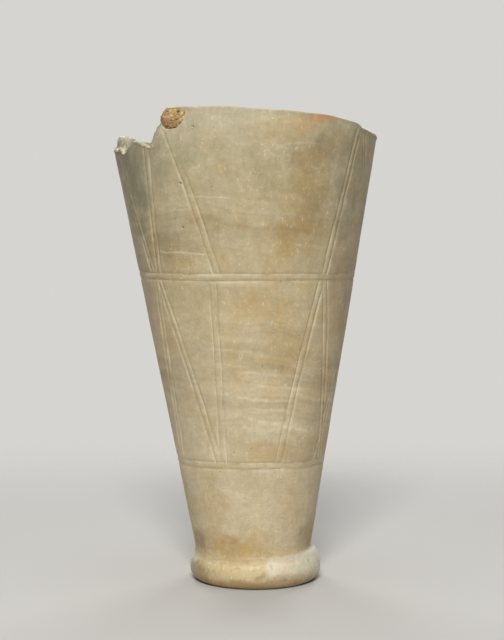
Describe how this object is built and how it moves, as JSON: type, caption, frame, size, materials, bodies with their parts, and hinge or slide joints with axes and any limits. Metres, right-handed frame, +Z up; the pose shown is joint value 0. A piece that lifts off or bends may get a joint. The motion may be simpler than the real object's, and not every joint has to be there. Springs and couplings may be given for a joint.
{
  "type": "jar",
  "caption": "Tall tapering stone jar on a ring foot, with carved double lines and a broken rim, open at the top.",
  "frame": {"origin": "centre of the flat face that the foot rests on", "axes": "+Z up from the foot to the mouth; the carved front faces -Y; the broken side of the rim is on the left, towards -X"},
  "size_m": [0.1818, 0.185, 0.3119],
  "materials": {
    "banded_stone": "carved and rubbed banded travertine, satin, with faint veins, stains and small pits",
    "ochre_crust": "rough granular ochre deposit, matte"
  },
  "bodies": {
    "root": {"jar_body": "banded_stone", "rim_crust": "ochre_crust"}
  },
  "joints": []
}
